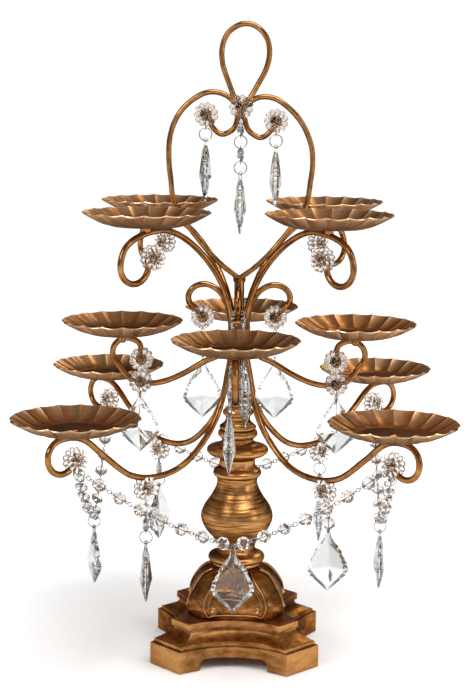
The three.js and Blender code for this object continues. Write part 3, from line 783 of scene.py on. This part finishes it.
def dome_ring(reach, half, height):
    """One level of the dome: four panels, joined by rounded shoulders."""
    ring = []
    across, shoulder, bulge = 44, 12, 0.035
    for turn in QUARTERS:
        for i in range(across + 1):
            y = half * (2 * i / across - 1)
            ring.append(tuple(turn @ Vector((panel_depth(y, height), y, height))))
        for t in (i / shoulder for i in range(1, shoulder)):
            out = 1 + bulge * math.sin(math.pi * t)
            x, y = reach * (1 - t) + half * t, half * (1 - t) + reach * t
            ring.append(tuple(turn @ Vector((x * out, y * out, height))))
    return ring


def dome():
    rings = [dome_ring(*row) for row in spline(DOME_ROWS, 1.5)]
    body = paint_edges(modified(loft(rings), [bore(0, 120)]), 0.55)
    at, dome_shade = np.array(body.points), np.array(body.painted_shade)
    for turn in QUARTERS:
        for mirror in (-1, 1):
            for line, radius, rise in FRAME_LINES:
                path = [(panel_depth(y, z) + rise, y * mirror, z) for y, z in spline(line, 1.2)]
                # The raised lines are painted lighter: worn metal and painted highlight.
                body.add(tube(path, radius, 10).painted(wear=0.35), turn)
                # Painted shade along each raised line.
                for spot in path:
                    dome_shade = shaded_around(dome_shade, at, turn @ Vector(spot), 0.9, 2.4, 2)
            body.add(knob(mirror), turn)
            # Painted shade around each knob.
            spot = turn @ Vector((panel_depth(*KNOB), KNOB[0] * mirror, KNOB[1]))
            dome_shade = shaded_around(dome_shade, at, spot, 1.0, 5.2, 4)
    body.painted_shade[:len(dome_shade)] = list(dome_shade)
    return body


def smooth_profile(corners):
    """A turned outline that is smooth between the corners marked True, the last of them
    at its end."""
    out, run, spacing = [], [], 0.8
    for radius, height, *sharp in corners:
        run.append((radius, height))
        if sharp and len(run) > 1:
            out += [tuple(p) for p in spline(run, spacing)][:-1]
            run = [(radius, height)]
    return out + run


VASE = [
    (24, 92.3, True), (25.7, 94.3), (25, 97, True), (28.4, 97.9), (30.1, 101), (28.9, 104.4),
    (25.5, 106.2, True), (22.6, 107.6), (20, 111), (19.9, 115), (24, 121.5), (32.6, 131.5), (37.6, 141.5),
    (38.2, 148), (35.2, 157), (27.6, 168.5), (22.6, 178.5), (21.3, 185.5), (22.6, 189.4, True),
    (24.8, 191), (25.7, 193.6), (24.6, 196.4), (21.8, 198.6, True), (19.4, 201.5), (18.6, 206, True),
]
CAP = [
    (18.6, 206.3, True), (19.4, 209), (22.6, 211.6, True), (28.6, 213.2), (32, 216.2), (32.6, 218.8),
    (31, 221.6), (25.5, 223.6, True), (19.8, 225.2), (16.8, 228.6), (17.2, 231.4, True), (19.8, 232.8),
    (21, 235.6), (20.2, 238.8), (17.8, 240.3, True), (19.2, 241.8), (19.4, 243.8), (16.4, 246.4, True),
    (13.8, 249.2), (12.9, 252.6), (13.6, 255.4, True), (15.6, 256.4), (16.1, 258.8), (14.6, 262),
    (11.8, 264.4), (9, 266, True),
]


def turned_piece(corners):
    through = bore(corners[0][1] - 20, corners[-1][1] + 20)
    return paint_edges(modified(lathe(smooth_profile(corners), 96), [through]), 1.3)


# ---- Glass drops ----
PEAR = [(1.7, 0.2), (2.6, -3), (3.6, -7), (6.6, -12), (10.0, -17), (12.8, -21), (14.4, -25.5), (17.0, -30),
        (18.8, -34), (19.8, -38.5), (19.0, -43), (15.8, -47.5), (12.8, -50.5), (10.4, -53.2), (7.4, -56.2),
        (4.0, -59.4), (1.6, -61.8), (0.0, -63)]
PEAR_CORNERS = [(0.0, 1.9), (0.17, 2.5), (0.36, 3.2), (0.62, 3.7), (0.8, 3.2), (1.0, 1.8)]
PEAR_RIDGE = [(0.5, 3.7, -14.0), (1.6, 6.5, -38.0)]
SCALLOPS, SCALLOP_DEPTH = 11, 1.3
GIRDLE_SHARE = 0.42                         # rim thickness, as a share of the band's
BAND_SHARE, BAND_MIDDLE = 0.85, -36.0       # the bevel's size against the outline


def pendalogue():
    """A pear-shaped drop with a scalloped rim, a bevelled band, and large facets that
    rise to a ridge on each face."""
    half = [tuple(p) for p in spline(PEAR, 1.2)]
    last = len(half) - 1
    right = []
    for i, (x, z) in enumerate(half):
        s = i / last
        wave = abs(math.sin(math.pi * s * SCALLOPS))
        push = SCALLOP_DEPTH * wave * smoothstep(0.1, 0.2, s) * (1 - smoothstep(0.66, 0.9, s))
        right.append((x + push, z - push * 0.35))
    rim = right + mirrored(right[-2::-1])
    plain = half + mirrored(half[-2::-1])
    count = len(rim)
    corners = [(round(s * last), y) for s, y in PEAR_CORNERS]
    corners += [(count - 1 - m, y) for m, y in corners[-2::-1]]
    marks = [m for m, _ in corners]

    def between(values):
        return np.interp(range(count), marks, values)

    girdle = between([GIRDLE_SHARE * y for _, y in corners])
    xs, zs = (between([plain[m][i] for m in marks]) for i in (0, 1))
    band = [(x * BAND_SHARE, y, (z - BAND_MIDDLE) * BAND_SHARE + BAND_MIDDLE)
            for x, y, z in zip(xs, between([y for _, y in corners]), zs)]
    high, low, back = 2 * count, 2 * count + 1, 2 * count + 2
    faces = [(i, (i + 1) % count, count + (i + 1) % count, count + i) for i in range(count)]
    for k, (a, b) in enumerate(zip(marks[:-1], marks[1:])):
        target = high if k < 2 or k > len(marks) - 4 else low
        faces.append((*(count + i for i in range(a, b + 1)), target))
    faces += [(count + marks[2], low, high), (count + marks[-3], high, low), (2 * count - 1, count, high)]
    solid = Solid()
    for sign in (-1, 1):
        points = [(x, sign * y, z) for (x, z), y in zip(rim, girdle)]
        points += [(x, sign * y, z) for x, y, z in band + PEAR_RIDGE]
        solid.take(points, faces if sign < 0 else [face[::-1] for face in faces])
    solid.faces += [(i, back + i, back + (i + 1) % count, (i + 1) % count) for i in range(count)]
    return solid


def bead():
    """An octagon bead with a flat table on each face, its hole along Z."""
    # Radius, distance from the middle, and the turn in shares of a side, of each ring.
    rows = [(3.2, 3.6, 0.5), (5.7, 2.4, 0.0), (7.0, 0.8, 0.5),
            (7.0, -0.8, 0.5), (5.7, -2.4, 0.0), (3.2, -3.6, 0.5)]
    sides = 8
    points, faces = [], []
    for radius, y, turn in rows:
        spots = [polar(radius, 2 * math.pi * (k + turn) / sides) for k in range(sides)]
        points += [(x, y, z) for x, z in spots]
    for r in range(len(rows) - 1):
        a, b = r * sides, (r + 1) * sides
        lead, follow = rows[r][2], rows[r + 1][2]
        for i in range(sides):
            j = (i + 1) % sides
            if lead == follow:
                faces.append((a + i, a + j, b + j, b + i))
            elif lead > follow:
                faces += [(a + i, a + j, b + j), (a + i, b + j, b + i)]
            else:
                faces += [(a + i, a + j, b + i), (a + j, b + j, b + i)]
    return Solid().take(points, faces + caps(len(rows), sides))


PEAR_SHAPE, BEAD_SHAPE = pendalogue(), bead()


def eye(centre, radius=1.25, way=(0, 1, 0), steps=14):
    """A small ring of the fine wire."""
    return ring_wire(centre, radius, FINE_WIRE, way, 6, steps)


def bead_pin():
    """The wire through a bead and the small eye at each end of it."""
    solid = tube([(0, 0, z) for z in np.linspace(0.3, -BEAD_DEPTH - 0.3, 6)], 0.45, 8)
    for z in (1.2, -BEAD_DEPTH - 1.2):
        solid.add(eye((0, 0, z)))
    return solid


def hung_pieces(kinds):
    """The drop, beads and wire of a chain that hangs down from (0, 0, 0). Each kind is a
    name and, after a colon, its length, its angle or that it hangs edge-on."""
    glass, beads, metal = (Solid() for _ in range(3))
    height = 0.0
    for kind in kinds:
        name, *details = kind.split(":")
        at = moved(0, 0, height)
        if name == "link":
            length = float(details[0])
            loops = max(1, round(length / LOOP_PITCH))
            pitch = (length + 1.6) / loops
            for i in range(loops):
                way = (1, 0, 0) if i % 2 else (0, 1, 0)
                middle = (0, 0, 0.8 - pitch * (i + 0.5))
                oval = (pitch / 2 + 0.7) / LOOP_RADIUS
                metal.add(ring_wire(middle, LOOP_RADIUS, FINE_WIRE, way, 6, 16, oval), at)
        elif name == "bead":
            length = BEAD_LENGTH
            turn = spoke(90 if details else 0)
            beads.add(BEAD_SHAPE, at @ turn @ moved(0, 0, -length / 2))
            metal.add(bead_pin(), at @ turn @ moved(0, 0, (BEAD_DEPTH - length) / 2))
        elif name == "ring":
            length = RING_LENGTH
            way = (1, 0.12, 0) if details else (0.12, 1, 0)
            metal.add(ring_wire((0, 0, -length / 2), RING_RADIUS, 0.5, way, 8, 36), at)
        else:
            length = PEAR_LENGTH
            swivel = spoke(float(details[0]) if details else 0.0)
            glass.add(PEAR_SHAPE, at @ swivel)
            metal.add(eye((0, 0, -0.6), 1.9, (1, 0, 0), 16), at @ swivel)
        height -= length - LINK_OVERLAP
    return glass, beads, metal


def show_drop(node, parts, place):
    """The pieces of one hanging body, the drop itself first."""
    glass, beads, metal = (Solid().add(part, place) for part in parts)
    piece(f"{node}_glass", glass, GLASS, [node], smooth=None, body=node)
    if beads.points:
        piece(f"{node}_beads", beads, BEAD_GLASS, smooth=None, body=node)
    piece(f"{node}_links", metal, CHROME, body=node)


HOOKS = Solid()


def hang(node, kinds, azimuth, tip, aside=0.0, turn=0.0, seat_drop=0.0):
    """A drop on its own body, and the hook on the stand that it swings from. The hook
    leaves the wire seat_drop below the tip and aside of it."""
    x, z = tip
    seat = z - seat_drop
    bottom = z - ROSETTE_RADIUS - 1.6
    place = spoke(azimuth) @ moved(x, aside, z - ROSETTE_RADIUS - DROP_CLEARANCE) @ spoke(turn)
    show_drop(node, hung_pieces(kinds), place)
    bend = math.copysign(3.4, aside) if aside else 0.0
    stem = [(x, aside + bend, seat - 1.0), (x, aside + bend * 1.1, seat - 6.0),
            (x, aside + bend * 0.6, bottom + 3.0), (x, aside, bottom + 1.6)]
    hook = tube(spline(stem, 1.5), FINE_WIRE, 6)
    hook.add(eye((x, aside, bottom + 0.3), LOOP_RADIUS, (1, 0, 0), 16))
    HOOKS.add(hook, spoke(azimuth))


def garland_height(x, strand):
    low, slope, skew = strand
    return low + slope * abs(x) + GARLAND_BEND * x * x + skew * x


def garland(side, kinds, strand, twist):
    """A string of beads between two bottom curls, with a chain hung from its middle. twist
    turns the beads about the string."""
    glass, strung, metal = (Solid() for _ in range(3))
    end, beads = GARLAND_REACH - ROSETTE_RADIUS, 14
    pitch = 2 * end / beads
    pin_place = spoke(90, "Y") @ moved(0, 0, BEAD_DEPTH / 2)
    for i in range(beads):
        x = -end + pitch * (i + 0.5)
        lean = math.atan2(garland_height(x + 1, strand) - garland_height(x - 1, strand), 2)
        roll = spoke(twist + 16 * math.sin(i * 2.3), "X")
        at = moved(x, 0, garland_height(x, strand)) @ Matrix.Rotation(-lean, 4, "Y") @ roll
        strung.add(BEAD_SHAPE, at)
        metal.add(bead_pin(), at @ pin_place)
    for i in range(beads + 1):
        x = -end + pitch * i
        sink = 1.2 if i == beads // 2 else 0.0
        way = (0, 1, 0.5 if i % 2 else -0.5)
        metal.add(ring_wire((x, 0, garland_height(x, strand) - sink), 2.1, 0.48, way, 6, 18))
    for sign in (-1, 1):
        start = Vector((sign * end, 0, garland_height(sign * end, strand)))
        finish = Vector((sign * (end + 9.5), 0, BOTTOM_CURL_TIP[1] - 9.5))
        for i in range(3):
            spot = start.lerp(finish, (i + 0.8) / 3)
            metal.add(eye(spot, 2.1, (0.3 * sign, 1, 0.9 * (-1) ** i), 16))
    for whole, part in zip((glass, strung, metal), hung_pieces(kinds)):
        whole.add(part, moved(0, 0, strand[0] + 0.5))
    place = spoke(SQUARES[side]) @ moved(GARLAND_REACH, 0, 0) @ spoke(90)
    show_drop(f"garland_{side}", (glass, strung, metal), place)


# ---- Assembly ----
for side, azimuth in DIAGONALS.items():
    sleeves = [(126.5, 456, 461.7), (216, 263, 267.7)]
    tips = [TOP_CURL_TIP, LOWER_ROSETTE, BOTTOM_CURL_TIP]
    wires(f"arm_{side}", f"main_arm_{side}", azimuth, [MAIN_ARM], ARM_WIRE, tips, sleeves)
    add_plate("top", side, azimuth)
    add_plate("bottom", side, azimuth)
for side, azimuth in SQUARES.items():
    tips = [INNER_CURL_TIP, OUTER_CURL_TIP, OUTER_ROSETTE]
    wires(f"arm_{side}", f"middle_arm_{side}", azimuth, [MIDDLE_ARM], ARM_WIRE, tips, [(122, 333, 341.2)])
    add_plate("middle", side, azimuth)
handle_tips = [HANDLE_CROSSING, HANDLE_LEFT_TIP, HANDLE_RIGHT_TIP]
wires("handle", "handle_frame", 0, handle_paths(), HANDLE_WIRE, handle_tips)

column = [
    ("plinth", plinth(), CAST, "base_plinth"),
    ("dome", dome(), CAST, "base_dome"),
    ("vase", turned_piece(VASE), TURNED, "column_vase"),
    ("cap", turned_piece(CAP), TURNED, "column_cap"),
]
for name, solid, material, node in column:
    piece(name, solid, material, [node], smooth=30.0)
tube_rows = [(3.4, 266.3), (5.2, 266.6), (5.2, 399), (4.7, 399.8), (3.0, 400.0)]
piece("tube", lathe(tube_rows, 40), TUBE, ["centre_tube"])
piece("welds", weld_blobs(), TUBE, smooth=60.0)

hang("handle_drop_left", ["ring", "pear:90"], 180, (-HANDLE_LEFT_TIP[0], HANDLE_LEFT_TIP[1]), aside=6.5)
hang("handle_drop_right", ["ring", "pear:90"], 0, HANDLE_RIGHT_TIP, aside=-6.5)
centre_chain = ["bead:edge", "ring", "bead:edge", "ring", "pear:90"]
hang("handle_drop_centre", centre_chain, 0, HANDLE_CROSSING, aside=-8.5)
inner_aside = {"right": 8.5, "back": 8.5, "left": -8.5, "front": 8.5}
outer_seat = 3.0
outer_aside = {"right": -6.0, "back": 6.0, "left": 6.0, "front": -6.0}
for side, azimuth in SQUARES.items():
    chain = ["link:8", "ring", "link:15", "pear"]
    hang(f"inner_drop_{side}", chain, azimuth, INNER_CURL_TIP, aside=inner_aside[side])
    above = (OUTER_ROSETTE[0], OUTER_ROSETTE[1] + outer_seat)
    hang(f"outer_drop_{side}", ["pear"], azimuth, above, aside=outer_aside[side], seat_drop=outer_seat)
# Each lower drop's chain, how far aside it hangs and its turn from the arm's direction.
lower_drops = {
    "front_left": (["bead", "bead:edge", "ring", "pear:90"], 0.0, -45),
    "front_right": (["link:13", "bead", "pear"], 7.0, 45),
    "back_left": (["bead:edge", "ring", "pear:62"], 0.0, -135),
    "back_right": (["ring", "bead:edge", "pear:90"], 0.0, -45),
}
for side, (chain, aside, turn) in lower_drops.items():
    hang(f"lower_drop_{side}", chain, DIAGONALS[side], LOWER_ROSETTE, aside, turn)
piece("drop_hooks", HOOKS, CHROME)
garland("front", ["link:5", "pear"], FRONT_STRAND, 0.0)
garland("back", ["link:5", "pear"], BACK_STRAND, 8.0)
garland("left", ["ring:edge", "pear:22"], SIDE_STRAND, 72.0)
garland("right", ["ring:edge", "pear"], SIDE_STRAND, 72.0)

for name in ("tie_rod", "base_nut", "base_washer"):
    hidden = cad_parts[name].data
    hidden.materials.clear()
    hidden.materials.append(STEEL)


# ---- Floor, light and camera ----
def floor():
    """A wide pale disc just under the feet."""
    sides, radius, level = 96, 20.0, -0.0006
    mesh = new_mesh("floor", [(*polar(radius, a), level) for a in circle(sides)], [tuple(range(sides))])
    n = Surface("pale_floor")
    cloud = n.noise(n.place, 3.0, 3.0)
    mesh.materials.append(n.finished({
        "Base Color": n.mix(cloud, rgb("fafafa"), rgb("fdfdfd")),
        "Roughness": n.ramp(cloud, 0.3, 0.7, 0.85, 0.95),
    }))
    obj = new_object("floor", mesh)


def area_light(name, spot, size, power):
    """A rectangular light aimed at the middle of the object."""
    light = bpy.data.lights.new(name, "AREA")
    light.shape, light.energy = "RECTANGLE", power
    light.size, light.size_y = size
    obj = new_object(name, light)
    aim = Vector((0, 0, 0.3)) - Vector(spot)
    obj.location = spot
    obj.rotation_euler = aim.to_track_quat("-Z", "Y").to_euler()


def sun_light():
    """Even light over the whole floor, from a wide patch of sky."""
    light = bpy.data.lights.new("ceiling", "SUN")
    light.angle, light.energy = math.radians(50), 3.0
    source = Vector((0.25, -0.35, 1.0))
    new_object("ceiling", light).rotation_euler = source.to_track_quat("Z", "Y").to_euler()


def studio():
    """A white backdrop. The metal and the glass reflect a dark ceiling and four dark
    corners between the main directions instead."""
    world = bpy.data.worlds.new("studio")
    bpy.context.scene.world = world
    world.use_nodes = True
    n = Nodes(world.node_tree)
    way = n.add("ShaderNodeTexCoord").outputs["Generated"]
    x, y, z = n.add("ShaderNodeSeparateXYZ", {0: way}).outputs
    swing = n.math("COSINE", n.math("MULTIPLY", n.math("ARCTAN2", y, x), 4.0))
    corners = n.ramp(swing, 0.88, 0.40, 0.0, 0.82)
    ceiling = n.ramp(z, 0.20, 0.45, 0.0, 0.76)
    unseen = n.math("SUBTRACT", 1.0, n.add("ShaderNodeLightPath").outputs["Is Camera Ray"])
    shade = n.math("MULTIPLY", n.math("MAXIMUM", corners, ceiling), unseen)
    bright = n.math("SUBTRACT", 1.02, shade)
    grey = n.add("ShaderNodeCombineColor", {0: bright, 1: bright, 2: bright}).outputs[0]
    n.feed(n.tree.nodes["Background"].inputs["Color"], grey)


def camera():
    """The camera of the photograph, as fitted to the main points of the object."""
    pitch, heading, roll = (math.radians(angle) for angle in (9.45, 1.52, 0.59))
    level = math.cos(pitch)
    forward = Vector((-math.sin(heading) * level, math.cos(heading) * level, -math.sin(pitch)))
    right = forward.cross(Vector((0, 0, 1))).normalized()
    up = right.cross(forward)
    basis = Matrix((right, up, -forward)).transposed().to_4x4() @ Matrix.Rotation(roll, 4, "Z")
    data = bpy.data.cameras.new("camera")
    data.lens, data.sensor_width = 82.8, 36.0
    data.clip_end = 100.0
    obj = new_object("camera", data)
    obj.matrix_world = moved(0.0388, -1.665, 0.602) @ basis
    bpy.context.scene.camera = obj


floor()
area_light("key", (-1.5, -1.6, 1.9), (1.1, 1.3), 26)
area_light("fill", (1.9, -1.0, 1.1), (0.5, 1.6), 12)
area_light("back", (0.9, 1.7, 1.8), (1.0, 1.0), 14)
sun_light()
studio()
camera()
bpy.context.scene.view_settings.view_transform = "Standard"
